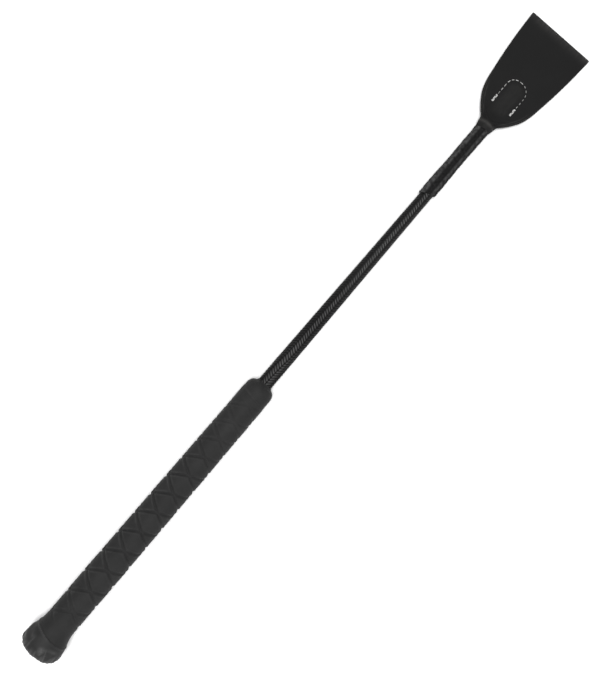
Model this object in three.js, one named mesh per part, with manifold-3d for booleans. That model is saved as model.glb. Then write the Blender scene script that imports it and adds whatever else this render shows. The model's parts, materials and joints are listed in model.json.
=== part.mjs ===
// A riding crop: a tapered rod under a braided cover, a rubber handle with a domed butt, and a folded
// leather flapper bound to the tip.  Lengths are millimetres.  Each sub-part is modelled along the
// crop's own axis, which is +X, with x = 0 at the butt, and the whole crop is then laid on the ground.
import * as THREE from 'three';
import { mergeVertices } from 'three/addons/utils/BufferGeometryUtils.js';
import Module from 'manifold-3d';

const wasm = await Module();
wasm.setup();

// Driving dimensions
const LENGTH = 508;                // butt to far edge of the flapper
const AROUND = 32;                 // sides of every round piece, so that nested faces stay parallel
const ARC_STEPS = 8;               // chords in each quarter of a round profile
const FIT = 0.15;                  // clearance between nested layers
const JOIN = 0.3;                  // clearance between pieces that meet end to end

// The domed butt: a flat land of radius core, then half an ellipse of unequal front and back lengths,
// which runs out at x = rounded.  Behind it the handle flares down to the neck, through [x, radius].
const KNOB = { x: 7.75, core: 4.6, front: 7.75, back: 11.4, height: 8.94, rounded: 12 };
const FLARE = [[9.5, 13.45], [11.4, 13.15], [13.9, 12.55], [16.3, 11.85], [18.5, 11.15], [21, 10.62], [24, 10.38]];
const CAP_RIM = 17.2;
const CAP_WALL = 1.4;
const CAP_END_WALL = 2.6;
const PIT = { rim: 2.6, floor: 2.2, depth: 1.5, hole: 1.1 };
const TACK = { head: 1.9, shank: 0.7, top: 0.5, under: 1.25, tip: 4.6 };

const PLUG_END = 26.5;
const ROD_START = 5.2;
const ROD_END = 431.6;
const BRAID_START = 27.5;
const BRAID_WALL = 0.8;
const BRAID_AT_MOUTH = { x: 220.6, r: 4.9 };
const BRAID_AT_KEEPER = { x: 371.9, r: 3.9 };

const GRIP_END = 207.6;
const GRIP_BORE = 7.8;
const GRIP_NECK = { x: 26.5, r: 10.3 };
const MOUTH = { start: 207.9, flat: 212.6, end: 218.1, r: 9.5, lip: 5.3 };

const BINDING = { start: 377.2, end: 388.3, wall: 0.35 };
const KEEPER = { start: 374.5, end: 429.2, waist: 4.6 };
const TAIL = { start: 410.5, flare: 432.4, end: 437.7, half: 3.9, thin: 0.45, wall: 1.4 };
const TIP = { start: 431.9, nose: 435, r: 3.4 };

const HINGE_X = 440.1;             // bend line of the leather, just past the rod's tip
const LEAF = { inner: 0.5, outer: 1.9 };
const FAR_HALF_WIDTH = 23.5;
const TONGUE = { half: 5.4, end: 465.4, thickness: 0.6 };
const STITCH = { start: 446.9, arc: 460.9, r: 7.3, offset: -0.3, thread: 0.35 };

const REST_BUTT = { x: KNOB.x, r: KNOB.core + KNOB.height };
const TILT = Math.atan((REST_BUTT.r - MOUTH.r) / (MOUTH.flat - REST_BUTT.x));

// Finishes
const finish = (color, roughness, metalness = 0) =>
  new THREE.MeshStandardMaterial({ color, roughness, metalness });
const RUBBER = finish(0x2c2c2d, 0.62);
const COLLAR_RUBBER = finish(0x232324, 0.45);
const CAP_RUBBER = finish(0x2a2a2b, 0.5);
const BRAID = finish(0x151516, 0.32);
const FIBREGLASS = finish(0xcfc9a8, 0.4);
const CORE_FOAM = finish(0x8a7f6a, 0.9);
const WOOD = finish(0x9b7a4c, 0.7);
const STEEL = finish(0x8f8f8f, 0.35, 1);
const TAPE = finish(0x1d1d1e, 0.3);
const BLACK_THREAD = finish(0x1a1a1a, 0.7);
const LEATHER = finish(0x242424, 0.75);
const TIP_PLASTIC = finish(0x303030, 0.5);
const WHITE_THREAD = finish(0xd9d6cf, 0.7);

// Geometry helpers

// Steps evenly from the first value to the last.
function steps(first, last, count) {
  return Array.from({ length: count + 1 }, (_, i) => first + ((last - first) * i) / count);
}

// Smooth step from 0 at x = from to 1 at x = to.
const ease = (x, from, to) => THREE.MathUtils.smoothstep(x, from, to);

// Joins coincident corners so that the faces share their vertices.
function welded(geometry) {
  geometry.deleteAttribute('normal');
  geometry.deleteAttribute('uv');
  return mergeVertices(geometry, 1e-4);
}

// Moves every vertex by a function of its place.
function warped(geometry, move) {
  const place = geometry.getAttribute('position');
  const point = new THREE.Vector3();
  for (let i = 0; i < place.count; i += 1) {
    point.fromBufferAttribute(place, i);
    move(point);
    place.setXYZ(i, point.x, point.y, point.z);
  }
  return geometry;
}

// Turns a profile of [x, radius] points about the crop's axis.  The profile runs anticlockwise seen
// with x to the right and the radius up, and closes on itself or on the axis.
function turned(profile) {
  const closed = profile[0][1] > 0 ? [...profile, profile[0]] : profile;
  const outline = closed.map(([x, r]) => new THREE.Vector2(r, x)).reverse();
  return new THREE.LatheGeometry(outline, AROUND).rotateZ(-Math.PI / 2);
}

// Points of an ellipse about (x, r) as [x, radius], from one angle to another.
function arc(x, r, length, height, from, to) {
  const chords = Math.ceil((ARC_STEPS * Math.abs(to - from)) / (Math.PI / 2));
  return steps(from, to, chords).map((a) => [x + length * Math.cos(a), r + height * Math.sin(a)]);
}

// A flat outline in X and Y, between two heights.
function slab(outline, low, high) {
  const geometry = new THREE.ExtrudeGeometry(new THREE.Shape(outline), {
    depth: high - low, bevelEnabled: false,
  });
  return geometry.translate(0, 0, low);
}

function solid(geometry) {
  const mesh = welded(geometry);
  return new wasm.Manifold(new wasm.Mesh({
    numProp: 3,
    vertProperties: new Float32Array(mesh.getAttribute('position').array),
    triVerts: new Uint32Array(mesh.index.array),
  }));
}

function fromSolid(body) {
  const mesh = body.getMesh();
  const geometry = new THREE.BufferGeometry();
  geometry.setAttribute('position', new THREE.BufferAttribute(mesh.vertProperties, mesh.numProp));
  geometry.setIndex(new THREE.BufferAttribute(mesh.triVerts, 1));
  return geometry;
}

function part(name, geometry, material) {
  const mesh = new THREE.Mesh(geometry, material);
  mesh.name = name;
  return mesh;
}

// The shaft

// Radius of the braided cover, which tapers evenly from the handle to the tip.
function braidRadius(x) {
  const slope = (BRAID_AT_KEEPER.r - BRAID_AT_MOUTH.r) / (BRAID_AT_KEEPER.x - BRAID_AT_MOUTH.x);
  return BRAID_AT_MOUTH.r + slope * (x - BRAID_AT_MOUTH.x);
}

const rodRadius = (x) => braidRadius(x) - BRAID_WALL - FIT;

function coreRod() {
  const chamfer = 0.6;
  return turned([
    [ROD_END, 0],
    [ROD_END, rodRadius(ROD_END) - chamfer],
    [ROD_END - chamfer, rodRadius(ROD_END)],
    [ROD_START + chamfer, rodRadius(ROD_START)],
    [ROD_START, rodRadius(ROD_START) - chamfer],
    [ROD_START, 0],
  ]);
}

function braidedCover() {
  return turned([
    [ROD_END, rodRadius(ROD_END) + FIT],
    [ROD_END, braidRadius(ROD_END)],
    [BRAID_START, braidRadius(BRAID_START)],
    [BRAID_START, rodRadius(BRAID_START) + FIT],
  ]);
}

// A blunt cap on the end of the rod, so that it can't wear through the leather.
function tipCap() {
  const nose = arc(TIP.start, 0, TIP.nose - TIP.start, TIP.r, 0, Math.PI / 2);
  return turned([...nose, [TIP.start, 0]]);
}

// The handle

// Front half of the butt, from its widest place to the flat land at the end, set in by one distance
// round the side and by another at the end.
function noseOutline(side, end) {
  return arc(KNOB.x, KNOB.core, KNOB.front - end, KNOB.height - side, Math.PI / 2, Math.PI);
}

// The whole knob inside the cap: the nose and the rounded part behind it.
function knobOutline(side, end) {
  const back = KNOB.back - side;
  const rounded = Math.acos((KNOB.rounded - KNOB.x) / back);
  return [
    ...arc(KNOB.x, KNOB.core, back, KNOB.height - side, rounded, Math.PI / 2).slice(0, -1),
    ...noseOutline(side, end),
  ];
}

// Value of a line through two [x, radius] points.
function onLine(a, b, x) {
  return a[1] + ((b[1] - a[1]) * (x - a[0])) / (b[0] - a[0]);
}

// Radius of the flare between its stations.
function flareRadius(x) {
  const after = FLARE.findIndex((station) => station[0] > x);
  return onLine(FLARE[after - 1], FLARE[after], x);
}

// Radius of the cone inside the cap's skirt and the sleeve's flare, a clearance off the plug.
function coneRadius(x) {
  const [start] = knobOutline(CAP_WALL, CAP_END_WALL);
  return onLine(start, [PLUG_END + JOIN, GRIP_BORE], x);
}

function buttCap() {
  const inside = knobOutline(CAP_WALL, CAP_END_WALL).reverse();
  const skirt = FLARE.filter(([x]) => x < CAP_RIM).reverse();
  return turned([
    [CAP_RIM, coneRadius(CAP_RIM)],
    [CAP_RIM, flareRadius(CAP_RIM)],
    ...skirt,
    ...noseOutline(0, 0),
    [0, PIT.rim],
    [PIT.depth, PIT.floor],
    [PIT.depth, PIT.hole],
    [CAP_END_WALL, PIT.hole],
    ...inside,
  ]);
}

function buttPlug() {
  const gap = FIT + 0.1;
  const stem = GRIP_BORE - gap;
  const bore = rodRadius(ROD_START) + FIT;
  return turned([
    [PLUG_END, bore],
    [PLUG_END, stem],
    ...knobOutline(CAP_WALL + gap, CAP_END_WALL + gap),
    [CAP_END_WALL + gap, PIT.hole],
    [ROD_START - JOIN, PIT.hole],
    [ROD_START - JOIN, bore],
  ]);
}

function capTack() {
  return turned([
    [TACK.tip, 0],
    [TACK.tip - TACK.shank * 2, TACK.shank],
    [TACK.under, TACK.shank],
    [TACK.under, TACK.head],
    [TACK.under - 0.25, TACK.head],
    [TACK.top + 0.1, TACK.head * 0.6],
    [TACK.top, 0],
  ]);
}

function handleCore() {
  const start = PLUG_END + JOIN;
  return turned([
    [GRIP_END, braidRadius(GRIP_END) + FIT],
    [GRIP_END, GRIP_BORE - FIT],
    [start, GRIP_BORE - FIT],
    [start, braidRadius(start) + FIT],
  ]);
}

// The sleeve flares over the plug to meet the butt cap, and tapers gently towards the shaft.
function gripSleeve() {
  const start = CAP_RIM + JOIN;
  const flare = FLARE.filter(([x]) => x > start).reverse();
  return turned([
    [GRIP_END, GRIP_BORE],
    [GRIP_END, MOUTH.r],
    [159, 9.75],
    [106, 10],
    [58, GRIP_NECK.r],
    [GRIP_NECK.x, GRIP_NECK.r],
    ...flare,
    [start, flareRadius(start)],
    [start, coneRadius(start)],
    [PLUG_END + JOIN, GRIP_BORE],
  ]);
}

function mouthCollar() {
  const bore = braidRadius(MOUTH.start) + FIT;
  return turned([
    [MOUTH.end, bore],
    ...arc(MOUTH.flat, MOUTH.lip, MOUTH.end - MOUTH.flat, MOUTH.r - MOUTH.lip, 0, Math.PI / 2),
    [MOUTH.start, MOUTH.r],
    [MOUTH.start, bore],
  ]);
}

// The keeper, which binds the leather's tails to the shaft

function keeperBinding() {
  const bore = braidRadius(BINDING.start) + FIT;
  return turned([
    [BINDING.end, bore],
    [BINDING.end, bore + BINDING.wall],
    [BINDING.start, bore + BINDING.wall],
    [BINDING.start, bore],
  ]);
}

function keeperWrap() {
  const overBinding = braidRadius(BINDING.start) + FIT + BINDING.wall + FIT;
  const overBraid = braidRadius(BINDING.end) + FIT;
  const overTail = braidRadius(TAIL.start) + FIT + TAIL.thin + FIT;
  return turned([
    [KEEPER.end, overTail],
    [KEEPER.end, 4.98],
    [422, 4.7],
    [408, KEEPER.waist],
    [399, KEEPER.waist],
    [386, 4.96],
    [378, 4.96],
    [KEEPER.start, 4.4],
    [KEEPER.start, braidRadius(KEEPER.start) + FIT],
    [BINDING.start - 1, braidRadius(KEEPER.start) + FIT],
    [BINDING.start - 0.5, overBinding],
    [BINDING.end + 0.5, overBinding],
    [BINDING.end + 1, overBraid],
    [TAIL.start - 1, overBraid],
    [TAIL.start - 0.5, overTail],
  ]);
}

// One skived tail of the flapper's leather.  A flat strip is laid round the shaft, and flattens and
// widens past the rod's tip.  side is 1 for the upper tail and -1 for the lower.
function leatherTail(side) {
  const seat = braidRadius(TAIL.start) + FIT;
  const along = 20;
  const across = 8;
  const flat = new THREE.BoxGeometry(1, 2, 1, along, across, 1);
  const strip = warped(flat, (p) => {
    const x = THREE.MathUtils.lerp(TAIL.start, TAIL.end, p.x + 0.5);
    const spread = Math.max(0, (x - TAIL.flare) / (TAIL.end - TAIL.flare));
    const half = TAIL.half + 2.6 * spread ** 2;
    const wall = THREE.MathUtils.lerp(TAIL.thin, TAIL.wall, ease(x, KEEPER.end + 0.5, TAIL.end));
    const height = THREE.MathUtils.lerp(seat, LEAF.inner, ease(x, TAIL.flare + 0.3, TAIL.end));
    const radius = seat / (1 - 0.98 * ease(x, TAIL.flare, TAIL.end));
    const angle = (p.y * half) / radius;
    const reach = radius + (p.z + 0.5) * wall;
    p.set(x, reach * Math.sin(angle), reach * Math.cos(angle) - radius + height);
  });
  return side > 0 ? strip : strip.rotateX(Math.PI);
}

// The flapper, one leather blank folded at its far edge

// Half the outline: a neck that flares fast and then runs almost straight to the far corner.
function flapperOutline() {
  const side = new THREE.SplineCurve([
    new THREE.Vector2(HINGE_X - LEAF.outer - 0.5, 7.3),
    new THREE.Vector2(441.6, 10.8),
    new THREE.Vector2(446.7, 14.45),
    new THREE.Vector2(454.4, 17.7),
    new THREE.Vector2(467.2, 19.9),
    new THREE.Vector2(487.7, 22.15),
    new THREE.Vector2(LENGTH + 1, FAR_HALF_WIDTH),
  ]).getPoints(24);
  const mirrored = side.map((p) => new THREE.Vector2(p.x, -p.y));
  return [...mirrored, ...side.reverse()];
}

// The folded blank seen from the side: two leaves, joined by a round fold at the far edge and rounded
// about the bend line at the neck.
function foldedProfile() {
  const mouth = Math.asin(LEAF.inner / LEAF.outer);
  const far = LENGTH - LEAF.outer;
  const profile = new THREE.Shape();
  const neck = HINGE_X - LEAF.outer * Math.cos(mouth);
  profile.moveTo(neck, LEAF.inner);
  profile.lineTo(far, LEAF.inner);
  profile.absarc(far, 0, LEAF.inner, Math.PI / 2, -Math.PI / 2, true);
  profile.lineTo(neck, -LEAF.inner);
  profile.absarc(HINGE_X, 0, LEAF.outer, Math.PI + mouth, 1.5 * Math.PI, false);
  profile.lineTo(far, -LEAF.outer);
  profile.absarc(far, 0, LEAF.outer, -Math.PI / 2, Math.PI / 2, false);
  profile.lineTo(HINGE_X, LEAF.outer);
  profile.absarc(HINGE_X, 0, LEAF.outer, Math.PI / 2, Math.PI - mouth, false);
  return profile;
}

function flapper() {
  const half = FAR_HALF_WIDTH + 2;
  const folded = new THREE.ExtrudeGeometry(foldedProfile(), {
    depth: 2 * half, bevelEnabled: false, curveSegments: ARC_STEPS,
  });
  folded.rotateX(Math.PI / 2).translate(0, half, 0);
  const blank = slab(flapperOutline(), -LEAF.outer - 1, LEAF.outer + 1);
  return fromSolid(solid(folded).intersect(solid(blank)));
}

// A strip between the leaves, inside the stitching, that stiffens the neck.
function flapperTongue() {
  const half = TONGUE.thickness / 2;
  const outline = new THREE.Shape();
  outline.moveTo(HINGE_X - 1, -TONGUE.half);
  outline.lineTo(TONGUE.end - TONGUE.half, -TONGUE.half);
  outline.absarc(TONGUE.end - TONGUE.half, 0, TONGUE.half, -Math.PI / 2, Math.PI / 2, false);
  outline.lineTo(HINGE_X - 1, TONGUE.half);
  return slab(outline.getPoints(ARC_STEPS), -half, half);
}

// One thread of the lockstitch: a U, open towards the shaft, laid on one face of the flapper.
function thread(side) {
  const height = side * (LEAF.outer + FIT + STITCH.thread);
  const at = (x, y) => new THREE.Vector3(x, y + STITCH.offset, height);
  const bend = steps(-Math.PI / 2, Math.PI / 2, 12)
    .map((a) => at(STITCH.arc + STITCH.r * Math.cos(a), STITCH.r * Math.sin(a)));
  const path = new THREE.CatmullRomCurve3([
    at(STITCH.start, -STITCH.r),
    at((STITCH.start + STITCH.arc) / 2, -STITCH.r),
    ...bend,
    at((STITCH.start + STITCH.arc) / 2, STITCH.r),
    at(STITCH.start, STITCH.r),
  ]);
  const section = steps(0, 2 * Math.PI * (7 / 8), 7)
    .map((a) => new THREE.Vector2(STITCH.thread * Math.cos(a), STITCH.thread * Math.sin(a)));
  return new THREE.ExtrudeGeometry(new THREE.Shape(section), {
    steps: 40, extrudePath: path, bevelEnabled: false,
  });
}

// Assembly

function stickGroup() {
  const stick = new THREE.Group();
  stick.add(
    part('core_rod', coreRod(), FIBREGLASS),
    part('braided_cover', braidedCover(), BRAID),
    part('tip_cap', tipCap(), TIP_PLASTIC),
    part('handle_core', handleCore(), CORE_FOAM),
    part('grip_sleeve', gripSleeve(), RUBBER),
    part('mouth_collar', mouthCollar(), COLLAR_RUBBER),
    part('butt_plug', buttPlug(), WOOD),
    part('butt_cap', buttCap(), CAP_RUBBER),
    part('cap_tack', capTack(), STEEL),
    part('keeper_binding', keeperBinding(), BLACK_THREAD),
    part('keeper_wrap', keeperWrap(), TAPE),
    part('leather_tail_upper', leatherTail(1), LEATHER),
    part('leather_tail_lower', leatherTail(-1), LEATHER),
  );
  return stick;
}

// The flapper's pieces, turned down about the bend line until the far edge rests on the ground.
function flapGroup(hingeHeight) {
  const flap = new THREE.Group();
  flap.add(
    part('flapper', flapper(), LEATHER),
    part('flapper_tongue', flapperTongue(), LEATHER),
    part('needle_thread', thread(1), WHITE_THREAD),
    part('bobbin_thread', thread(-1), WHITE_THREAD),
  );
  for (const mesh of flap.children) mesh.position.x = -HINGE_X;
  const reach = LENGTH - LEAF.outer - HINGE_X;
  flap.position.x = HINGE_X;
  flap.rotation.y = Math.asin((hingeHeight - LEAF.outer) / reach) - TILT;
  return flap;
}

// Lays the crop on the ground: the butt and the handle's mouth touch it, and so does the far edge.
function layDown() {
  const crop = new THREE.Group();
  const axisHeight = REST_BUTT.r * Math.cos(TILT) + REST_BUTT.x * Math.sin(TILT);
  const hingeHeight = axisHeight - HINGE_X * Math.sin(TILT);
  crop.add(stickGroup(), flapGroup(hingeHeight));
  crop.rotation.y = TILT;
  crop.position.z = axisHeight;
  const box = new THREE.Box3().setFromObject(crop, true);
  crop.position.x -= (box.min.x + box.max.x) / 2;
  return crop;
}

export default layDown();
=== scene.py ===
import json
import math

import bmesh
import bpy
import numpy as np
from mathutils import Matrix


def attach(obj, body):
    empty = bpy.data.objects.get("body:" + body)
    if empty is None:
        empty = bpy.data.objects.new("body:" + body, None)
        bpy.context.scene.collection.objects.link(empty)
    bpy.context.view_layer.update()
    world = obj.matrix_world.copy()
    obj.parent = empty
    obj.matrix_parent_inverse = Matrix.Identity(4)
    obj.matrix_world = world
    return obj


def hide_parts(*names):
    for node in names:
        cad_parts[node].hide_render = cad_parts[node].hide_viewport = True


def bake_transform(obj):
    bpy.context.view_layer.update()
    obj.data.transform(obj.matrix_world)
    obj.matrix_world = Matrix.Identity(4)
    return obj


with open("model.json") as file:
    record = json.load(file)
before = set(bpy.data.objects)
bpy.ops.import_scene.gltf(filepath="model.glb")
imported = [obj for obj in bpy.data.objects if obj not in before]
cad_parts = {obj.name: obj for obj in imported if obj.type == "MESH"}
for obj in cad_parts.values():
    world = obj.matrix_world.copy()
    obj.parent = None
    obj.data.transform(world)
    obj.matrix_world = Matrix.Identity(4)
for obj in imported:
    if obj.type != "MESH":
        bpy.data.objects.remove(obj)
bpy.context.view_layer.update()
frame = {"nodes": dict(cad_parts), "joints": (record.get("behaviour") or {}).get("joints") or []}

# A riding crop, lying on a pale floor: grooved rubber handle, braided shaft, wound keeper and a folded
# leather flapper.  Shapes are worked out in millimetres along the crop's own axis, with x from the butt,
# y across the flapper and z up, and lay() puts them in the frame in metres.
MM = 0.001
TURN = 2 * math.pi

# The design's own sizes
LENGTH = 508
KNOB_X, KNOB_CORE, KNOB_HEIGHT, KNOB_RIM = 7.75, 4.6, 8.94, 17.2
CAP_WALL, CAP_END_WALL = 1.4, 2.6
PIT_RIM, PIT_FLOOR, PIT_DEPTH, PIT_HOLE = 2.6, 2.2, 1.5, 1.1
GRIP_BORE = 7.8
MOUTH_START, MOUTH_FLAT, MOUTH_END, MOUTH_R, MOUTH_LIP = 207.9, 212.6, 218.1, 9.5, 5.3
BRAID_START, BRAID_END = 27.5, 431.6
KEEPER_START, KEEPER_END = 374.4, 429.2
HINGE_X, LEAF_OUTER, LEAF_WALL = 440.1, 1.9, 1.35
TAIL_START = 414
STITCH_START, STITCH_ARC, STITCH_R, STITCH_Y = 446.9, 460.9, 7.3, -0.3
STITCH_LENGTH = 2 * (STITCH_ARC - STITCH_START) + math.pi * STITCH_R
STITCH_PITCH, STITCH_SQUARE, THREAD_R = 3.0, 0.78, 0.34

HINGE = np.array(frame["joints"][0]["pos_m"])
TILT = math.atan((KNOB_CORE + KNOB_HEIGHT - MOUTH_R) / (MOUTH_FLAT - KNOB_X))
DROOP = math.asin((HINGE[2] / MM - LEAF_OUTER) / (LENGTH - LEAF_OUTER - HINGE_X)) - TILT


def ease(value, low, high):
    """Smooth step from 0 at low to 1 at high."""
    t = np.clip((value - low) / (high - low), 0, 1)
    return t * t * (3 - 2 * t)


def span(value, start, full, fade, end):
    """Smooth plateau: 0 before start, 1 from full to fade, and 0 again past end."""
    return ease(value, start, full) * (1 - ease(value, fade, end))


def bell(value, centre, width):
    """Gaussian bump of height 1."""
    return np.exp(-(((value - centre) / width) ** 2))


def ring_of(cols):
    """Angles once round a circle, as one row."""
    return np.linspace(0, TURN, cols, endpoint=False)[None, :]


def through(x, stations):
    """Smooth curve through a few (x, value) stations: cubics whose slopes are the neighbours' chords."""
    sx, sy = np.array(stations, float).T
    slope = np.gradient(sy, sx)
    i = np.clip(np.searchsorted(sx, x) - 1, 0, len(sx) - 2)
    h = sx[i + 1] - sx[i]
    t = np.clip((x - sx[i]) / h, 0, 1)
    low = (1 + 2 * t) * (1 - t) ** 2 * sy[i] + t * (1 - t) ** 2 * h * slope[i]
    return low + t * t * (3 - 2 * t) * sy[i + 1] - t * t * (1 - t) * h * slope[i + 1]


def lay(x, y, z, flap=0.0):
    """Turns the crop down by TILT, and what is on the flapper by DROOP more, about the bend line."""
    angle = TILT + DROOP * flap
    dx = x - HINGE_X
    across = np.broadcast_to(y, np.broadcast(x, y, z).shape)
    points = [dx * np.cos(angle) + z * np.sin(angle), across, z * np.cos(angle) - dx * np.sin(angle)]
    return np.stack(points, -1) * MM + HINGE


def round_place(x, r, angle):
    """Point at radius r about the crop's axis; the angle is 0 on top and grows towards -y."""
    return lay(x, -r * np.sin(angle), r * np.cos(angle))


# Meshes

def quads(rows, cols, close_rows):
    """Faces of a grid that closes on itself across, and along too if close_rows."""
    i = np.arange(rows if close_rows else rows - 1)[:, None]
    j = np.arange(cols)[None, :]
    ahead, beside = (i + 1) % rows, (j + 1) % cols
    corners = [i * cols + j, i * cols + beside, ahead * cols + beside, ahead * cols + j]
    return np.stack(corners, -1).reshape(-1, 4)


def skin(name, grids, fields, close_rows=True, sharp=50):
    """One mesh from grids of points; fields are named values, one for each point of all the grids.  Edges
    that turn by more than sharp degrees stay sharp."""
    faces, points, start = [], [], 0
    for grid in grids:
        rows, cols = grid.shape[:2]
        faces.append(quads(rows, cols, close_rows) + start)
        points.append(grid.reshape(-1, 3))
        start += rows * cols
    mesh = bpy.data.meshes.new(name)
    mesh.from_pydata(np.concatenate(points).tolist(), [], np.concatenate(faces).tolist())
    for field, values in fields.items():
        attribute = mesh.attributes.new(field, "FLOAT", "POINT")
        attribute.data.foreach_set("value", np.asarray(values, np.float32).ravel())
    shape = bmesh.new()
    shape.from_mesh(mesh)
    bmesh.ops.remove_doubles(shape, verts=shape.verts, dist=1e-7)
    bmesh.ops.holes_fill(shape, edges=[e for e in shape.edges if e.is_boundary], sides=0)
    bmesh.ops.recalc_face_normals(shape, faces=shape.faces)
    shape.to_mesh(mesh)
    shape.free()
    mesh.shade_smooth()
    mesh.set_sharp_from_angle(angle=math.radians(sharp))
    piece = bpy.data.objects.new(name, mesh)
    bpy.context.scene.collection.objects.link(piece)
    return piece


def dress(piece, material, slot, body, *nodes):
    """Gives a new piece its material and its body, and hides the CAD nodes that it stands for.  The slot is
    not used.
    """
    piece.data.materials.append(material)
    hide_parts(*nodes)
    if body:
        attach(piece, body)


def crinkle(x, angle, seed, waves, around, along):
    """Sum of sines of random direction that closes round the axis, scaled to about -1 to 1."""
    pick = np.random.default_rng(seed)
    total = np.zeros(np.broadcast(x, angle).shape)
    for _ in range(waves):
        turns = pick.integers(-around, around + 1)
        pace = pick.uniform(-along, along)
        total = total + np.sin(turns * angle + pace * x + pick.uniform(0, TURN))
    return total / math.sqrt(2 * waves)


# Shader building

class Value:
    """A socket; arithmetic on it adds Math nodes."""

    def __init__(self, finish, socket):
        self.finish, self.socket = finish, socket

    def __add__(self, other):
        return self.finish.math("ADD", self, other)

    def __sub__(self, other):
        return self.finish.math("SUBTRACT", self, other)

    def __rsub__(self, other):
        return self.finish.math("SUBTRACT", other, self)

    def __mul__(self, other):
        return self.finish.math("MULTIPLY", self, other)

    __radd__, __rmul__ = __add__, __mul__

    def above(self, low, high):
        """0 below low, 1 above high, smooth between."""
        settings = {"interpolation_type": "SMOOTHSTEP"}
        return self.finish.node("ShaderNodeMapRange", settings, {0: self, 1: low, 2: high})


class Finish:
    """A material around one Principled shader; constants are set on its own sockets."""

    def __init__(self, name, **constants):
        self.material = bpy.data.materials.new(name)
        self.material.use_nodes = True
        self.tree = self.material.node_tree
        self.shader = self.tree.nodes["Principled BSDF"]
        for socket, value in constants.items():
            self.shader.inputs[socket.replace("_", " ")].default_value = value
        self.place = self.node("ShaderNodeTexCoord", output="Object")

    def node(self, kind, settings=None, inputs=None, output=0):
        """A node: its settings come first, then a value or a link for each of its sockets."""
        made = self.tree.nodes.new(kind)
        for key, value in (settings or {}).items():
            setattr(made, key, value)
        for key, value in (inputs or {}).items():
            if isinstance(value, Value):
                self.tree.links.new(value.socket, made.inputs[key])
            else:
                made.inputs[key].default_value = value
        return Value(self, made.outputs[output])

    def math(self, operation, first, second):
        return self.node("ShaderNodeMath", {"operation": operation}, {0: first, 1: second})

    def stretched(self, scale):
        """Object coordinates multiplied along each axis."""
        return self.node("ShaderNodeMapping", {}, {"Vector": self.place, "Scale": scale})

    def noise(self, scale, detail, roughness, place=None):
        """Cloudy noise, about 0 to 1."""
        inputs = {"Vector": place or self.place, "Scale": scale, "Detail": detail, "Roughness": roughness}
        return self.node("ShaderNodeTexNoise", {}, inputs)

    def cells(self, scale, place=None):
        """Distance to the nearest border between cells of random shape."""
        inputs = {"Vector": place or self.place, "Scale": scale}
        return self.node("ShaderNodeTexVoronoi", {"feature": "DISTANCE_TO_EDGE"}, inputs)

    def field(self, name):
        """A named value that the mesh carries."""
        return self.node("ShaderNodeAttribute", {"attribute_name": name}, output="Fac")

    def blend(self, factor, first, second):
        """Mixes two colours, whose sockets on the Mix node are 6 and 7, with the mixed one at 2."""
        return self.node("ShaderNodeMix", {"data_type": "RGBA"}, {0: factor, 6: first, 7: second}, 2)

    def feed(self, **sockets):
        """Links values to the shader's sockets, with _ for a blank in a socket's name."""
        for socket, value in sockets.items():
            self.tree.links.new(value.socket, self.shader.inputs[socket.replace("_", " ")])
        return self

    def bump(self, height, distance, strength):
        inputs = {"Height": height, "Distance": distance, "Strength": strength}
        return self.node("ShaderNodeBump", {}, inputs)


def grey(level, warmth=0.0):
    """A near-neutral colour; warmth above 0 leans to brown, below 0 to blue."""
    return (level * (1 + warmth), level, level * (1 - warmth), 1)


def rubber(name, level, gloss):
    """Matt moulded rubber: fine grain, faint mottling, groove lips paler (painted highlight, partly
    scuffing) and groove floors darker (painted shade).
    """
    finish = Finish(name, Specular_IOR_Level=0.1, Sheen_Weight=0.03, Sheen_Roughness=0.4)
    grain = finish.noise(2600, 3, 0.6)
    mottle = finish.noise(130, 5, 0.6)
    smear = finish.noise(38, 3, 0.5)
    floor = finish.field("groove").above(0.25, 0.9)
    lip = finish.field("lip") * mottle.above(0.25, 0.6)
    tone = mottle.above(0.3, 0.75) * 0.6 + smear * 0.4
    colour = finish.blend(tone, grey(level * 0.86), grey(level * 1.2))
    # Painted shade: the groove floors are darkened.
    colour = finish.blend(floor * 0.18, colour, grey(level * 0.4))
    # Painted highlight on the groove lips, partly scuffing.
    colour = finish.blend(lip * 0.6, colour, grey(level * 2.4))
    height = grain * 0.35 + mottle * 0.65
    return finish.feed(
        Base_Color=colour,
        Roughness=gloss + mottle * 0.16 - smear.above(0.45, 0.7) * 0.06,
        Normal=finish.bump(height, 0.00006, 0.8),
    ).material


def cap_finish():
    """Rubber polished by handling, with painted highlights: paler on the crests of the gathers and dents, on
    the rings, on the rim's +y side and over the end.
    """
    finish = Finish("cap_rubber", Specular_IOR_Level=0.14)
    wear_and_highlight = finish.field("wear_and_highlight")
    fleck = finish.noise(900, 4, 0.65)
    smear = finish.noise(150, 4, 0.6)
    # Painted highlight from the field, broken up by flecks.
    shown = wear_and_highlight * (0.55 + fleck.above(0.35, 0.65) * 0.45)
    colour = finish.blend(smear.above(0.3, 0.7), grey(0.017), grey(0.022))
    return finish.feed(
        Base_Color=finish.blend(shown, colour, grey(0.08)),
        Roughness=0.56 - wear_and_highlight * 0.16 + smear * 0.1,
        Normal=finish.bump(fleck * 0.5 + smear * 0.5, 0.00008, 0.8),
    ).material


def braid_finish():
    """Black nylon yarn with a dull dressing; the crowns carry a painted highlight, strong along the column
    on top and faint elsewhere.
    """
    finish = Finish("braided_nylon", Specular_IOR_Level=0.2)
    crown = finish.field("crown")
    lightened = finish.field("top") + 0.06
    fibre = finish.noise(5200, 2, 0.5)
    patchy = finish.noise(90, 4, 0.6)
    # Painted highlight: crowns paler, strongly along the top column.
    colour = finish.blend(crown.above(0.35, 1.0) * lightened, grey(0.001), grey(0.034))
    return finish.feed(
        Base_Color=colour,
        Roughness=0.75 - crown.above(0.35, 0.95) * 0.4 + patchy * 0.08,
        Normal=finish.bump(fibre, 0.00003, 0.5),
    ).material


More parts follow.
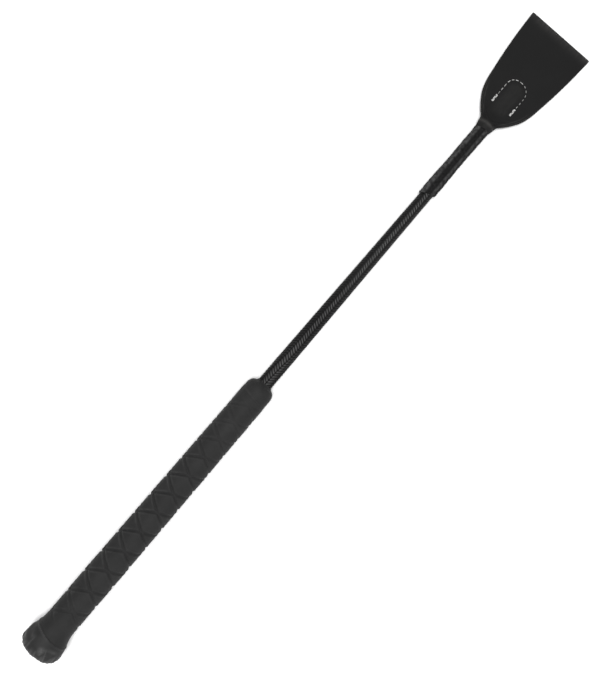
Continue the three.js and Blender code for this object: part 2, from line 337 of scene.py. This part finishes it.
def keeper_finish():
    """Wound black tape: crinkled and dull, with a painted highlight along both flanks and a few paler
    flecks.
    """
    finish = Finish("wound_tape", Specular_IOR_Level=0.09)
    flank_highlight = finish.field("flank_highlight")
    crease = finish.cells(420, place=finish.stretched((0.5, 1, 1)))
    fleck = finish.noise(1300, 4, 0.7)
    patch = finish.noise(480, 5, 0.7)
    # Painted highlight along both flanks, broken by patches, and a few paler flecks.
    wear_and_painted_light = flank_highlight * (0.35 + patch.above(0.35, 0.6) * 0.65) + fleck.above(0.6, 0.72) * 0.12
    colour = finish.blend(wear_and_painted_light, grey(0.005), grey(0.058))
    height = crease.above(0.0, 0.12) * 0.5 + patch * 0.8 + fleck * 0.2
    return finish.feed(
        Base_Color=colour,
        Roughness=0.5 + patch.above(0.35, 0.7) * 0.25,
        Normal=finish.bump(height, 0.00016, 0.9),
    ).material


def leather_finish():
    """Fine-grain black leather: pebbled grain and paler cut edges; the fold field pales it, partly scuffing
    and partly painted highlight, along the fold, over the knuckle and inside the stitched U.
    """
    finish = Finish("flapper_leather", Specular_IOR_Level=0.1)
    pebble = finish.cells(1500)
    fine = finish.noise(3400, 3, 0.6)
    cloud = finish.noise(60, 5, 0.6)
    scuff = finish.noise(420, 5, 0.7, finish.stretched((0.35, 1, 1)))
    edge = finish.field("edge")
    fold = finish.field("fold")
    # The fold field is partly scuffing and partly painted highlight; the cut edges are paler.
    wear_and_painted_light = fold * (0.35 + scuff.above(0.35, 0.7) * 0.65) + edge * 0.45
    skin_tone = finish.blend(cloud.above(0.3, 0.75), grey(0.0086), grey(0.0102))
    colour = finish.blend(wear_and_painted_light, skin_tone, grey(0.034, 0.03))
    height = pebble.above(0.0, 0.25) * 0.6 + fine * 0.3 + cloud * 0.3
    return finish.feed(
        Base_Color=colour,
        Roughness=0.66 + cloud * 0.14 - fold * 0.1,
        Normal=finish.bump(height, 0.00005, 0.7),
    ).material


def thread_finish(name, level):
    """Waxed twisted thread: fine fibres, patches of grime, and darker where its darkening field is high."""
    finish = Finish(name, Specular_IOR_Level=0.35)
    fibre = finish.noise(6000, 3, 0.6)
    grime = finish.noise(700, 3, 0.6)
    grime_and_darkening = grime.above(0.3, 0.8) * 0.35 + finish.field("thread_darkening") * 0.8
    colour = finish.blend(grime_and_darkening, grey(level, 0.01), grey(level * 0.25, 0.02))
    return finish.feed(
        Base_Color=colour,
        Roughness=0.55 + fibre * 0.2,
        Normal=finish.bump(fibre, 0.00005, 0.6),
    ).material


def streaked_finish(name, dark, light, stretch, scale, rough, metallic=0.0):
    """Wood, glass fibre, foam, steel, plastic or plain leather: two colours mixed by noise, which is
    stretched along each axis, with fine pores."""
    finish = Finish(name, Metallic=metallic)
    streak = finish.noise(scale, 6, 0.6, finish.stretched(stretch))
    pore = finish.noise(scale * 6, 3, 0.6)
    return finish.feed(
        Base_Color=finish.blend(streak.above(0.3, 0.7), dark, light),
        Roughness=rough + pore * 0.2,
        Normal=finish.bump(streak * 0.6 + pore * 0.4, 0.00008, 0.5),
    ).material


# The camera and the studio

def camera():
    """Looks straight down on the crop, rolled so that the crop lies at its angle across the frame.  At the
    crop's middle height the frame shows seen metres from its top to its bottom."""
    over_x, over_y, height, roll = 0.00168, 0.0021, 0.543, -49.494
    middle_height, seen = 0.0095, 0.421875
    data = bpy.data.cameras.new("camera")
    data.sensor_fit = "VERTICAL"
    data.sensor_height = 24
    data.lens = data.sensor_height * (height - middle_height) / seen
    eye = bpy.data.objects.new("camera", data)
    eye.location = (over_x, over_y, height)
    eye.rotation_euler = (0, 0, math.radians(roll))
    bpy.context.scene.collection.objects.link(eye)
    bpy.context.scene.camera = eye


def softbox(name, at, size, power):
    """A rectangular area light that faces the crop's middle."""
    data = bpy.data.lights.new(name, "AREA")
    data.shape = "RECTANGLE"
    data.size, data.size_y = size
    data.energy = power
    light = bpy.data.objects.new(name, data)
    light.location = at
    light.rotation_euler = (-light.location).to_track_quat("-Z", "Y").to_euler()
    bpy.context.scene.collection.objects.link(light)


def studio():
    """A wide sheet of pale paper just under the crop, lit softly from overhead and from one low side."""
    half, below = 4.0, -0.0004
    floor = bpy.data.meshes.new("floor")
    corners = [(-half, -half, 0), (half, -half, 0), (half, half, 0), (-half, half, 0)]
    floor.from_pydata(corners, [], [(0, 1, 2, 3)])
    ground = bpy.data.objects.new("floor", floor)
    ground.location.z = below
    bpy.context.scene.collection.objects.link(ground)
    paper = Finish("floor_paper", Roughness=0.9, Specular_IOR_Level=0.1)
    fibre = paper.noise(60, 3, 0.5)
    paper.feed(Base_Color=paper.blend(fibre, grey(0.9), grey(0.94)))
    floor.materials.append(paper.material)
    softbox("key", (-0.8, -0.6, 0.45), (0.5, 0.4), 2.6)
    softbox("lamp", (-0.03, 0.02, 1.7), (0.6, 0.6), 27)
    softbox("ceiling", (0.0, 0.0, 1.8), (2.4, 2.4), 6)
    world = bpy.data.worlds.new("studio")
    world.use_nodes = True
    background = world.node_tree.nodes["Background"]
    background.inputs["Color"].default_value = (1, 1, 1, 1)
    background.inputs["Strength"].default_value = 0.4
    bpy.context.scene.world = world
    bpy.context.scene.view_settings.view_transform = "Standard"


# The handle

def handle_radius(x):
    """Outline of the handle from the knob's widest place to the mouth, through a few stations."""
    return through(x, [
        (KNOB_X, KNOB_CORE + KNOB_HEIGHT), (9.5, 13.5), (11.4, 13.2), (13.9, 12.65), (16.3, 11.85),
        (18.5, 11.15), (21, 10.62), (24, 10.38), (27, 10.3), (58, 10.3), (106, 10.05), (159, 9.8),
        (212, 9.55)])


def cap_rim(angle):
    """The cap's rim is a little askew: it reaches further along on the +y side."""
    askew = 1.85
    return KNOB_RIM - askew * np.sin(angle)


def mouth_rim(angle):
    """Where the grip ends and the collar starts, askew the same way."""
    askew = 1.5
    return MOUTH_START - askew * np.sin(angle)


def grip_lines(x, angle):
    """Distances in mm to the nearest line of each of the two families that cross on the grip.
    Along the grip a pitch falls evenly, from 16.5 mm at the first crossing.  A line moves on by two pitches
    in each turn round the grip, clockwise in one family and anticlockwise in the other, and wavers on its
    way."""
    first_x, first, fall, front = 38.2, 16.47, -0.0172, math.radians(9)
    pitch = np.clip(first + fall * (x - first_x), 5, None)
    count = np.log(pitch / first) / fall
    back = (angle - front) / math.pi + 0.08 * np.sin(angle - front)
    ahead = (angle - front) / math.pi + 0.1 * (np.cos(2 * angle - 0.17) - math.cos(0.144))
    gaps = []
    for phase, steep in ((count + back, 0.0072), (count - ahead, 0.0056)):
        tilt = np.hypot(1 / pitch, steep * 180 / math.pi / handle_radius(x))
        gaps.append(np.abs(phase - np.round(phase)) / tilt)
    return gaps


def grip_sleeve(finish):
    """A tube whose outside is handle_radius, cut by V grooves with raised lips and crowned between them.
    The grooves start past the flare, grow shallower along the grip and run out just before the mouth.  The
    lips carry a painted highlight, strongest on the +y side, with some scuffing.  One end goes under the cap
    and the other under the collar's lip."""
    rows, cols = 560, 150
    proud, depth, groove_reach, lip_rise, crown_rise, waviness = 0.08, 0.74, 1.15, 0.14, 0.1, 0.05
    lip_at, under_cap_r = 1.5, 10.2
    angle = ring_of(cols)
    start, end = cap_rim(angle) - 0.6, mouth_rim(angle) + 0.3
    x = start + (end - start) * np.linspace(0, 1, rows)[:, None]
    first, second = grip_lines(x, angle)
    fade = span(x, 24, 31, MOUTH_START - 5, MOUTH_START - 1) * (1 - 0.6 * ease(x, 130, 200))
    near = np.minimum(first, second)
    groove = np.clip(1 - near / groove_reach, 0, 1) * fade
    lip = bell(near, lip_at, 0.5) * fade
    crown = ease(near, lip_at, 5) * fade
    # Painted highlight on the groove lips, strongest on the +y side, partly scuffing.
    lip_highlight_and_wear = lip * (0.15 + 0.85 * ease(-np.sin(angle), 0.1, 0.75))
    radius = handle_radius(x) + proud - depth * groove + lip_rise * lip + crown_rise * crown
    radius = radius + waviness * crinkle(x, angle, 5, 10, 5, 0.35)
    radius = radius - 0.3 * bell(x, start, 0.5) - 0.15 * ease(x, end - 0.5, end)
    outside = round_place(x, radius, angle)
    inside = round_place(np.concatenate([end, start]), np.array([[GRIP_BORE], [under_cap_r]]), angle)
    plain = np.zeros((2, cols))
    marks = {"groove": np.concatenate([groove, plain]), "lip": np.concatenate([lip_highlight_and_wear, plain])}
    piece = skin("handle_grip", [np.concatenate([outside, inside])], fields=marks)
    dress(piece, finish, "grip_rubber", "stick", "grip_sleeve")


def braid_radius(x):
    """The shaft's radius: 4.9 mm at the mouth, and 1 mm less for each 151.3 mm on."""
    return 4.9 - (x - 220.6) / 151.3


def mouth_collar(finish):
    """A turned ring: a flat with a low lip, a rounded shoulder and a short boot that hugs the shaft.  The
    shoulder is most of a quarter ellipse, and the boot a parabola that ends along the bore.  The lip
    carries a painted highlight, strongest on the +y side, with some scuffing."""
    cols, boot_length, boot_wall, shoulder_end, waviness = 128, 1.6, 0.12, 0.3, 0.05
    bore, shoulder_foot = braid_radius(MOUTH_START) + 0.15, MOUTH_LIP + 0.3
    angle = ring_of(cols)
    flat = np.linspace(0, 1, 16)[:, None]
    flat_x = mouth_rim(angle) + (MOUTH_FLAT - mouth_rim(angle)) * flat
    flat_r = MOUTH_R + 0.02 + 0.2 * bell(flat_x, mouth_rim(angle) + 0.5, 0.5) - 0.06 * bell(flat, 0, 0.02)
    turn = np.linspace(math.pi / 2, shoulder_end, 22)[1:, None]
    shoulder_x = MOUTH_FLAT + (MOUTH_END - MOUTH_FLAT) * np.cos(turn)
    shoulder_r = shoulder_foot + (MOUTH_R - shoulder_foot) * np.sin(turn) ** 0.9
    boot = np.linspace(0, 1, 8)[1:, None]
    boot_x = shoulder_x[-1] + boot_length * boot
    boot_r = shoulder_r[-1] + (bore + boot_wall - shoulder_r[-1]) * (1 - (1 - boot) ** 2)
    spread = np.zeros((1, cols))
    x = [flat_x, shoulder_x + spread, boot_x + spread, boot_x[-1:] + spread, mouth_rim(angle)]
    r = [flat_r, shoulder_r + spread, boot_r + spread, bore + spread, bore + spread]
    x, r = np.concatenate(x), np.concatenate(r)
    r = r + waviness * crinkle(x, angle, 8, 8, 4, 0.6) * (r > bore + 0.3)
    # Painted highlight on the lip, strongest on the +y side, partly scuffing.
    lip = 0.5 * bell(x, mouth_rim(angle) + 0.6, 0.7) * (0.1 + 0.9 * ease(-np.sin(angle), -0.4, 0.4))
    piece = skin("handle_mouth", [round_place(x, r, angle)], fields={"groove": 0 * r, "lip": lip})
    dress(piece, finish, "collar_rubber", "stick", "mouth_collar")


def cap_outline(angle):
    """Rows of x and radius from the pit's hole to the cap's rim: the pit, the land, a quarter dome blunted
    by a power below 1, and the skirt with its lip.  Also the count of rows up to the knob's widest place."""
    blunt, flatter, lip_rise, cut_depth = 0.72, 0.85, 0.3, 0.55
    dome = np.linspace(0, math.pi / 2, 76)[1:]
    nose_x = np.concatenate([
        [PIT_DEPTH, PIT_DEPTH], np.linspace(PIT_DEPTH, 0.1, 10), np.zeros(12),
        KNOB_X * (1 - np.cos(dome) ** blunt)])[:, None]
    nose_r = np.concatenate([
        [PIT_HOLE, PIT_FLOOR - 0.3], np.linspace(PIT_FLOOR, PIT_RIM - 0.1, 10),
        np.linspace(PIT_RIM, KNOB_CORE, 12), KNOB_CORE + KNOB_HEIGHT * np.sin(dome) ** blunt])[:, None]
    nose_x = KNOB_X - (KNOB_X - nose_x) * flatter
    rim = cap_rim(angle)
    skirt_x = KNOB_X + (rim - KNOB_X) * np.linspace(0, 1, 30)[1:, None]
    lip, cut = bell(skirt_x, rim - 0.7, 0.7), bell(skirt_x, rim, 0.16)
    skirt_r = handle_radius(skirt_x) + 0.05 + lip_rise * lip - cut_depth * cut
    spread = 0 * angle
    x = np.concatenate([nose_x + spread, skirt_x])
    r = np.concatenate([nose_r + spread, skirt_r])
    return x, r, len(nose_r)


def gathers(x, angle):
    """Radial pleats of uneven width and length over the cap's end: a sum of bells across the angle."""
    count, pick = 24, np.random.default_rng(6)
    total = 0 * x
    for i in range(count):
        at = (i + pick.uniform(-0.3, 0.3)) * TURN / count + pick.uniform(-0.035, 0.035) * (x - 3)
        wide, length = pick.uniform(0.04, 0.1), pick.uniform(6, 16)
        aside = (angle - at + math.pi) % TURN - math.pi
        total = total + bell(aside, 0, wide) * (1 - ease(x, 0.5 * length, length))
    return total


def butt_cap(finish):
    """The domed cap: its outline, pushed out by gathers, by faint rings round the end and by dents, and
    pressed flat where it lies on the floor.  The push is along the axis on the end and outwards on the
    side.  The field that pales the cap is a painted highlight, high on crests, on the rings, on the rim's
    +y side and over the end."""
    cols, fold_rise, ring_rise, dent_rise, pressed_by, skirt_bore = 320, 0.4, 0.13, 0.24, 0.1, 10.4
    angle = ring_of(cols)
    spread = np.zeros((1, cols))
    x, r, nose_rows = cap_outline(angle)
    nose = np.arange(len(r))[:, None] < nose_rows
    folds = gathers(x, angle)
    reach = ease(r, 1.4, 3)
    ring = ring_rise * np.sin(3.4 * r + 1.8 * np.sin(angle + 2.4)) * nose * span(r, 7.5, 9.5, 12.6, 13.4)
    dents = crinkle(x, angle, 3, 24, 9, 0.9) * ease(r, 3, 6)
    dents = dents * (1 - ease(x, cap_rim(angle) - 4, cap_rim(angle) - 1))
    push = fold_rise * (folds - 0.35) * reach * (1 - ease(x, 7, 12))
    push = push + ring * (0.4 + 0.6 * np.sin(angle)) + dent_rise * dents
    pressed = bell(np.cos(angle), -1, 0.12)
    push = push * (1 - pressed) - pressed_by * pressed
    slope = np.where(nose, ease(r, KNOB_CORE - 1, KNOB_CORE + KNOB_HEIGHT), 1)
    inward = nose * (1 - slope)
    outside = round_place(x - push * (1 - slope) + inward, r + push * slope - 0.12 * reach * nose, angle)
    inner = np.linspace(0, math.pi / 2, 12)[:-1]
    dome_x = KNOB_X - (KNOB_X - CAP_END_WALL) * np.sin(inner[1:])
    inner_x = np.concatenate([[KNOB_X], dome_x, [CAP_END_WALL]])[:, None]
    inner_r = np.concatenate([KNOB_CORE + (KNOB_HEIGHT - CAP_WALL) * np.cos(inner), [PIT_HOLE]])[:, None]
    under = round_place(cap_rim(angle), skirt_bore + spread, angle)
    inside = np.concatenate([under, round_place(inner_x + spread, inner_r + spread, angle)])
    # Painted highlights: crests of the gathers and dents, the rim's +y side, the ring crests and the end are
    # made paler.
    crest = 0.4 * ease(folds, 0.1, 1.1) * reach + 0.7 * ease(dents, 0.1, 0.9) * (1 - ease(x, 9, 15))
    rim = 0.32 * bell(x, cap_rim(angle) - 0.9, 0.75) * (0.05 + 0.95 * ease(-np.sin(angle), -0.2, 0.5))
    wear_and_highlight = np.clip(crest + rim + np.clip(2 * ring, 0, 0.4) + 0.16 * (1 - ease(x, 3, 9)), 0, 1)
    marks = np.concatenate([wear_and_highlight, np.zeros(inside.shape[:2])])
    piece = skin("handle_cap", [np.concatenate([outside, inside])], fields={"wear_and_highlight": marks})
    dress(piece, finish, "cap_rubber", "stick", "butt_cap")


# The shaft and the keeper

def braided_cover(finish):
    """A tube plaited in eight nearly flat columns.  In each column short yarns lean one way, and the other
    way in the next: a yarn is a rounded ridge (|sin| of a phase that grows along the shaft and leans with
    the place across the column), and it dives at the column's sides.  Towards the keeper the yarns lie
    flatter.  The crown field is 1 along the middle of a yarn, and the top field marks the upper column."""
    cols, columns, pitch, lean = 112, 8, 2.0, 0.75
    wall, flatness, swelling, proud, unevenness = 0.8, 0.75, 0.05, 0.12, 0.03
    late_twist, early_twist = math.radians(3), math.radians(22)
    hidden_start = np.linspace(BRAID_START, MOUTH_START - 1, 12, endpoint=False)
    shown = np.linspace(MOUTH_START - 1, KEEPER_START + 6, 680)
    hidden_end = np.linspace(KEEPER_START + 6, BRAID_END, 8)[1:]
    x = np.concatenate([hidden_start, shown, hidden_end])[:, None]
    angle = ring_of(cols)
    twist = late_twist - early_twist * (1 - ease(x, 222, 250))
    column = (angle - twist) / TURN * columns + 0.5
    place = column - np.floor(column) - 0.5
    side = 2 * (np.floor(column) % 2) - 1
    phase = x / pitch - side * place * lean * TURN * braid_radius(x) / columns / pitch
    ridge = np.abs(np.sin(math.pi * phase)) ** 0.7
    dive = 1 - (2 * np.abs(place)) ** 6
    facets = ease(x, 238, 256)
    flat = (1 - math.cos(math.pi / columns) / np.cos(place * TURN / columns)) * facets
    crown = ridge * dive
    relief = 0.42 - 0.2 * ease(x, 275, 335)
    uneven = unevenness * crinkle(x, angle, 11, 10, 5, 0.9)
    faceted = 1 + swelling * facets - flatness * flat
    radius = braid_radius(x) * faceted + proud - relief * (1 - crown) + uneven
    bore = braid_radius(x) - wall
    ends = np.array([x[-1], x[0]])
    inside = round_place(ends, np.array([bore[-1], bore[0]]), angle)
    smoother = 0.6 * ease(x, 265, 320)
    # Painted highlight: the top field pales the yarn crowns of the upper column.
    top = ease(np.cos(angle - 0.04 - 0.2 * ease(x, 250, 300)), 0.76 + 0.16 * ease(x, 240, 300), 0.985)
    top = top * (1.4 - 0.85 * ease(x, 235, 262) - 0.4 * ease(x, 280, 320))
    crown = crown + (1 - crown) * smoother
    plain = np.zeros((2, cols))
    marks = {"crown": np.concatenate([crown, plain]), "top": np.concatenate([top, plain])}
    piece = skin("shaft_braid", [np.concatenate([round_place(x, radius, angle), inside])], fields=marks)
    dress(piece, finish, "braid", "stick", "braided_cover")


def keeper_wrap(finish):
    """A tube of wound tape: turns that step down over each other, two raised flanks and crinkles.  A painted
    highlight field is high along the flanks, broken up by the crinkles."""
    rows, cols, turn_length = 230, 128, 9.5
    tape, flank_rise, wrinkle_rise, sunk = 0.13, 0.12, 0.11, 0.12
    end_bore, start_bore = 4.3, 4.05
    angle = ring_of(cols)
    u = np.linspace(0, 1, rows)[:, None]
    start = KEEPER_START + 1.1 + 1.9 * np.sin(angle)
    end = KEEPER_END + 0.5 * np.sin(2 * angle + 0.6)
    x = start + (end - start) * u
    outline = through(x, [
        (374, 4.9), (386, 4.98), (399, 4.66), (408, 4.62), (417, 4.78), (422, 4.74), (427, 4.86),
        (431, 5.1)])
    winding = (x / turn_length - angle / TURN) % 1
    overlap = tape * (1 - winding) * ease(winding, 0, 0.09)
    right, left = np.cos(angle - math.radians(34)), np.cos(angle + math.radians(40))
    flank = 0.8 * bell(right, 1, 0.025) + bell(left, 1, 0.06)
    wrinkle = crinkle(x, angle, 21, 26, 10, 2.0)
    radius = outline - sunk + overlap + flank_rise * flank + wrinkle_rise * wrinkle
    radius = radius - 0.45 * bell(u, 0, 0.006) - 0.3 * bell(u, 1, 0.006)
    outside = round_place(x, radius, angle)
    bores = np.array([[end_bore], [start_bore]])
    inside = round_place(np.concatenate([end, start]), bores, angle)
    # Painted highlight along both flanks, broken up by the crinkles.
    flank_highlight = np.clip(flank, 0, 1) * np.clip(0.8 + 0.6 * wrinkle, 0, 1)
    marks = np.concatenate([flank_highlight, np.zeros((2, cols))])
    piece = skin("keeper_tape", [np.concatenate([outside, inside])], fields={"flank_highlight": marks})
    dress(piece, finish, "keeper_tape", "stick", "keeper_wrap")


# The flapper

def half_width(x):
    """Half the leather's width seen from above: a neck round the rod, a fast flare, then easy sides."""
    return through(x, [
        (TAIL_START, 4.1), (428, 4.25), (430, 4.7), (432.5, 5.3), (435.1, 5.6), (436.6, 6.15), (438.9, 8.3),
        (441.4, 10.5), (445.3, 13.3), (449.4, 15.75), (454.1, 17.35), (466.9, 19.55), (485.8, 21.8),
        (LENGTH, 23.3)])


def neck_rise(x):
    """How far the middle of a leaf stands above its edges: round the rod's tip, then down to nothing."""
    rise = through(x, [
        (TAIL_START, 3.75), (430, 4.0), (432.5, 4.25), (433.8, 4.2), (435.3, 3.7), (437, 2.9), (438.9, 2.2),
        (441.4, 1.4), (445.3, 0.5), (449.4, 0.08), (453, 0)])
    return np.clip(rise, 0.001, None)


def stitch_path(s):
    """Point at s mm along the U of stitching: two straight legs joined by half a circle, whose +y quarter
    is drawn out squarer, as |sin| and |cos| to a power below 1."""
    leg = STITCH_ARC - STITCH_START
    bend = np.clip((s - leg) / STITCH_R, 0, math.pi)
    along = np.clip(s, None, leg) - np.clip(s - leg - math.pi * STITCH_R, 0, None)
    square = np.where(bend < math.pi / 2, STITCH_SQUARE, 1.0)
    x = STITCH_START + along + STITCH_R * np.abs(np.sin(bend)) ** square
    return x, STITCH_Y + STITCH_R * np.sign(np.cos(bend)) * np.abs(np.cos(bend)) ** square


def stitch_gap(x, y):
    """Distance from the row of stitches, positive inside the U."""
    dy = y - STITCH_Y
    dx = np.clip(x - STITCH_ARC, 0, None)
    power = np.where(dy > 0, 2 / STITCH_SQUARE, 2.0)
    return STITCH_R - (dx ** power + np.abs(dy) ** power) ** (1 / power)


def leaf_rise(x, y):
    """How far a leaf stands up over the tongue between the leaves, and sinks along the stitches."""
    tongue_rise, stitch_depth = 0.46, 0.2
    gap = stitch_gap(x, y)
    along = ease(x, 441, 449)
    over_tongue = tongue_rise * ease(gap, 0.3, 4.2) * (1 - 0.35 * ease(x, 452, 466))
    sunk = stitch_depth * bell(gap, 0, 0.75) * ease(x, STITCH_START - 1.2, STITCH_START + 0.4)
    return over_tongue * along - sunk


def leaf(x, y, out):
    """Upper leaf: where a place on the blank lies once it is folded, y mm from its middle line and out mm
    above its middle surface.  Across the crop it is an arc of half chord half_width and rise neck_rise.
    Small pleats run back from the neck, and a crease follows each side."""
    pleat_rise, crease_depth, skived_wall, tail_level, fold_swell = 0.3, 0.16, 0.6, 0.5, 0.22
    half, rise = half_width(x), neck_rise(x)
    radius = (half * half + rise * rise) / (2 * rise)
    swing = y / half * 2 * np.arctan(rise / half)
    level = tail_level + (LEAF_WALL / 2 - 0.44) * ease(x, 436, 445) + fold_swell * bell(x, LENGTH - 3.2, 2.2)
    wall = skived_wall + (LEAF_WALL - skived_wall) * ease(x, 430, 439)
    side = half - np.abs(y)
    neck = span(x, 433.8, 436, 441, 447)
    pleat = pleat_rise * neck * np.sin(2.4 * (x - 0.7 * np.abs(y))) * bell(side, 2.6, 2)
    crease = crease_depth * bell(side, 1.7, 0.3) * span(x, 438, 441, 455, 475)
    reach = radius + leaf_rise(x, y) + pleat - crease + out * wall / LEAF_WALL
    return x, reach * np.sin(swing), level + rise - radius + reach * np.cos(swing)


def flapper(finish):
    """The folded blank: a ring round the leather's section, carried along the upper leaf, round the fold
    and back along the lower leaf, which mirrors the upper and shows a little beyond it near the neck."""
    half_wall, count, crowding = LEAF_WALL / 2, 84, math.pi / 2 * 0.985
    edge_bulge, edge_round, lower_shows, slant, far_half, fold_back = 0.45, 0.18, 0.5, 0.4, 23.4, 1.3
    across = np.sin(np.linspace(-1, 1, count) * crowding) / math.sin(crowding)
    edge = np.linspace(-math.pi / 2, math.pi / 2, 7)[1:-1]
    v = np.concatenate([across, np.ones(5), across[::-1], -np.ones(5)])
    rim = np.cos(edge) * edge_bulge
    bulge = np.concatenate([np.zeros(count), rim, np.zeros(count), -rim])
    face = np.full(count, 1.0)
    out = np.concatenate([face, -np.sin(edge), -face, np.sin(edge)]) * half_wall
    flat = np.abs(out) > half_wall * 0.99
    out = out - np.sign(out) * edge_round * ease(np.abs(v), 0.975, 1.0) * flat

    def section(x, side):
        trim = lower_shows * (side > 0) * span(x, 437, 440, 450, 470)
        skew = slant * (x - TAIL_START) / (LENGTH - TAIL_START) / far_half
        y = (half_width(x) - trim) * v + bulge
        px, py, pz = leaf(x + skew * y, y, out)
        return px, py, side * pz

    fold_x = LENGTH - fold_back
    x = np.concatenate([
        np.linspace(TAIL_START, 428, 8, endpoint=False), np.linspace(428, 447, 64, endpoint=False),
        np.linspace(447, fold_x, 120)])[:, None]
    flap = ease(x, 437, 445)
    upper = lay(*section(x, 1), flap)
    lower = lay(*section(x[::-1], -1), flap[::-1])
    turn = np.linspace(math.pi / 2, -math.pi / 2, 17)[1:-1, None]
    end_x, end_y, end_z = section(np.full((1, 1), fold_x), 1)
    fold = lay(end_x + end_z * np.cos(turn), end_y, end_z * np.sin(turn), 1.0)
    cut = (np.abs(v) > 0.9999) * (np.abs(out) < half_wall * 0.9) + 0.35 * ease(np.abs(v), 0.97, 1)
    cuts = np.broadcast_to(np.clip(cut, 0, 1), (2 * len(x) + 15, len(v)))
    # Painted highlight over the knuckle, where the leather rounds the rod's tip.
    knuckle = 1.1 * bell(x + 0.12 * half_width(x) * v ** 2, 433.4, 1.1) + 0.2 * bell(x, 431, 3)
    side = half_width(x) * (1 - np.abs(v))
    # A paler strip along each side near the flare.
    lightened = 0.8 * bell(side, 1.2, 0.35) * span(x, 437, 440, 450, 460)
    # Painted highlight inside the stitched U, on the leather that the tongue raises.
    raised = 0.2 * ease(stitch_gap(x, half_width(x) * v), 0.4, 4) * ease(x, 440, 446)
    # Paler far fold, partly scuffing and partly painted highlight; the field adds these up.
    wear_and_highlight = bell(x, LENGTH, 3.4) + knuckle + lightened + raised
    folds = np.concatenate([wear_and_highlight, np.full(fold.shape[:2], 0.95), wear_and_highlight[::-1]])
    grid = np.concatenate([upper, fold, lower])
    piece = skin("flapper_blank", [grid], close_rows=False, fields={"edge": cuts, "fold": folds}, sharp=60)
    dress(piece, finish, "flapper_leather", None, "flapper", "leather_tail_upper", "leather_tail_lower")
    ends = [tuple(lay(np.float64(at), np.float64(0), np.float64(0))) for at in (433.5, 448)]
    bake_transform(piece)


def one_stitch(first, last, side, shift, thick):
    """A twisted thread from hole to hole: its middle stands on the leather and its ends dive into it.
    The section is a circle with two lobes that turn along it."""
    rows, cols, lobe, twist, sunk, step = 17, 12, 0.12, 5.5, 0.5, 0.05
    t = np.linspace(0, 1, rows)[:, None]
    angle = ring_of(cols)
    s = first + (last - first) * t
    x, y = stitch_path(s)
    ahead_x, ahead_y = stitch_path(s + step)
    run_x, run_y = ahead_x - x, ahead_y - y
    length = np.hypot(run_x, run_y)
    run_x, run_y = run_x / length, run_y / length
    surface = leaf(x, y, LEAF_WALL / 2)[2]
    rise = np.sin(math.pi * t) ** 0.6
    middle = surface - sunk + (sunk + thick * 0.6) * rise
    radius = thick * (0.85 + 0.15 * rise) * (1 + lobe * np.cos(2 * (angle - twist * t)))
    radius = radius * np.sqrt(np.clip(1 - (2 * t - 1) ** 10, 0, 1))
    aside = shift + radius * np.cos(angle)
    return lay(x - run_y * aside, y + run_x * aside, side * (middle + radius * np.sin(angle)), 1.0)


def stitches(name, side, finish, node, seed):
    """A row of stitches along the U.  Each end is sewn over again beside itself, half a stitch out of
    step; a field says how much darker each stitch is, less on the ends that are sewn twice."""
    count = round(STITCH_LENGTH / STITCH_PITCH)
    pitch = STITCH_LENGTH / count
    pick = np.random.default_rng(seed)
    beside, clean = 0.32, 0.05
    runs = []
    for i in range(count):
        twice = i < 2 or i >= count - 2
        slack = 0.03 if twice else 0.1 + 0.08 * (i > count / 2)
        # Darker by a random amount, more on the later half of the row and on the third stitch.
        darkened_by = clean if twice else pick.uniform(0.3, 0.6) + 0.35 * (i > count / 2) + 0.3 * (i == 2)
        shift, thick = (-beside, THREAD_R) if twice else (0, 0.8 * THREAD_R)
        runs.append((i + slack, i + 1 - slack, shift, darkened_by, thick))
    for first, last in ((0.05, 0.5), (0.5, 1.5), (1.5, 1.95)):
        runs.append((first, last, beside, clean, THREAD_R))
        runs.append((count - last, count - first, beside, clean, THREAD_R))
    grids, thread_darkening = [], []
    for first, last, shift, darkened_by, thick in runs:
        grids.append(one_stitch(first * pitch, last * pitch, side, shift, thick))
        thread_darkening.append(np.full(grids[-1].shape[:2], darkened_by))
    piece = skin(name, grids, close_rows=False, fields={"thread_darkening": np.stack(thread_darkening)})
    dress(piece, finish, "stitch_thread", "flap", node)


# Pieces that stay as they are in the frame

def keep(node, material):
    """Gives a piece of the frame its own material."""
    kept = frame["nodes"][node]
    kept.data.materials.clear()
    kept.data.materials.append(material)


camera()
studio()
grip_sleeve(rubber("grip_rubber", 0.019, 0.62))
mouth_collar(rubber("collar_rubber", 0.019, 0.6))
butt_cap(cap_finish())
braided_cover(braid_finish())
keeper_wrap(keeper_finish())
flapper(leather_finish())
white_thread = thread_finish("white_thread", 0.5)
stitches("upper_stitches", 1, white_thread, "needle_thread", 4)
stitches("lower_stitches", -1, white_thread, "bobbin_thread", 9)
even, drawn_out, straight_grain = (1, 1, 1), (0.04, 1, 1), (0.08, 1, 1)
pale_wood, dark_wood = (0.42, 0.25, 0.1, 1), (0.2, 0.1, 0.04, 1)
keep("core_rod", streaked_finish("glass_fibre", grey(0.42, 0.2), grey(0.6, 0.16), drawn_out, 900, 0.3))
keep("handle_core", streaked_finish("build_up_foam", grey(0.2, 0.25), grey(0.3, 0.2), even, 700, 0.7))
keep("butt_plug", streaked_finish("plug_wood", dark_wood, pale_wood, straight_grain, 500, 0.5))
keep("cap_tack", streaked_finish("black_steel", grey(0.05), grey(0.12), even, 800, 0.35, 1.0))
keep("tip_cap", streaked_finish("tip_plastic", grey(0.02), grey(0.035), even, 600, 0.45))
keep("keeper_binding", thread_finish("binding_thread", 0.02))
keep("flapper_tongue", streaked_finish("tongue_leather", grey(0.05, 0.3), grey(0.08, 0.25), even, 900, 0.7))
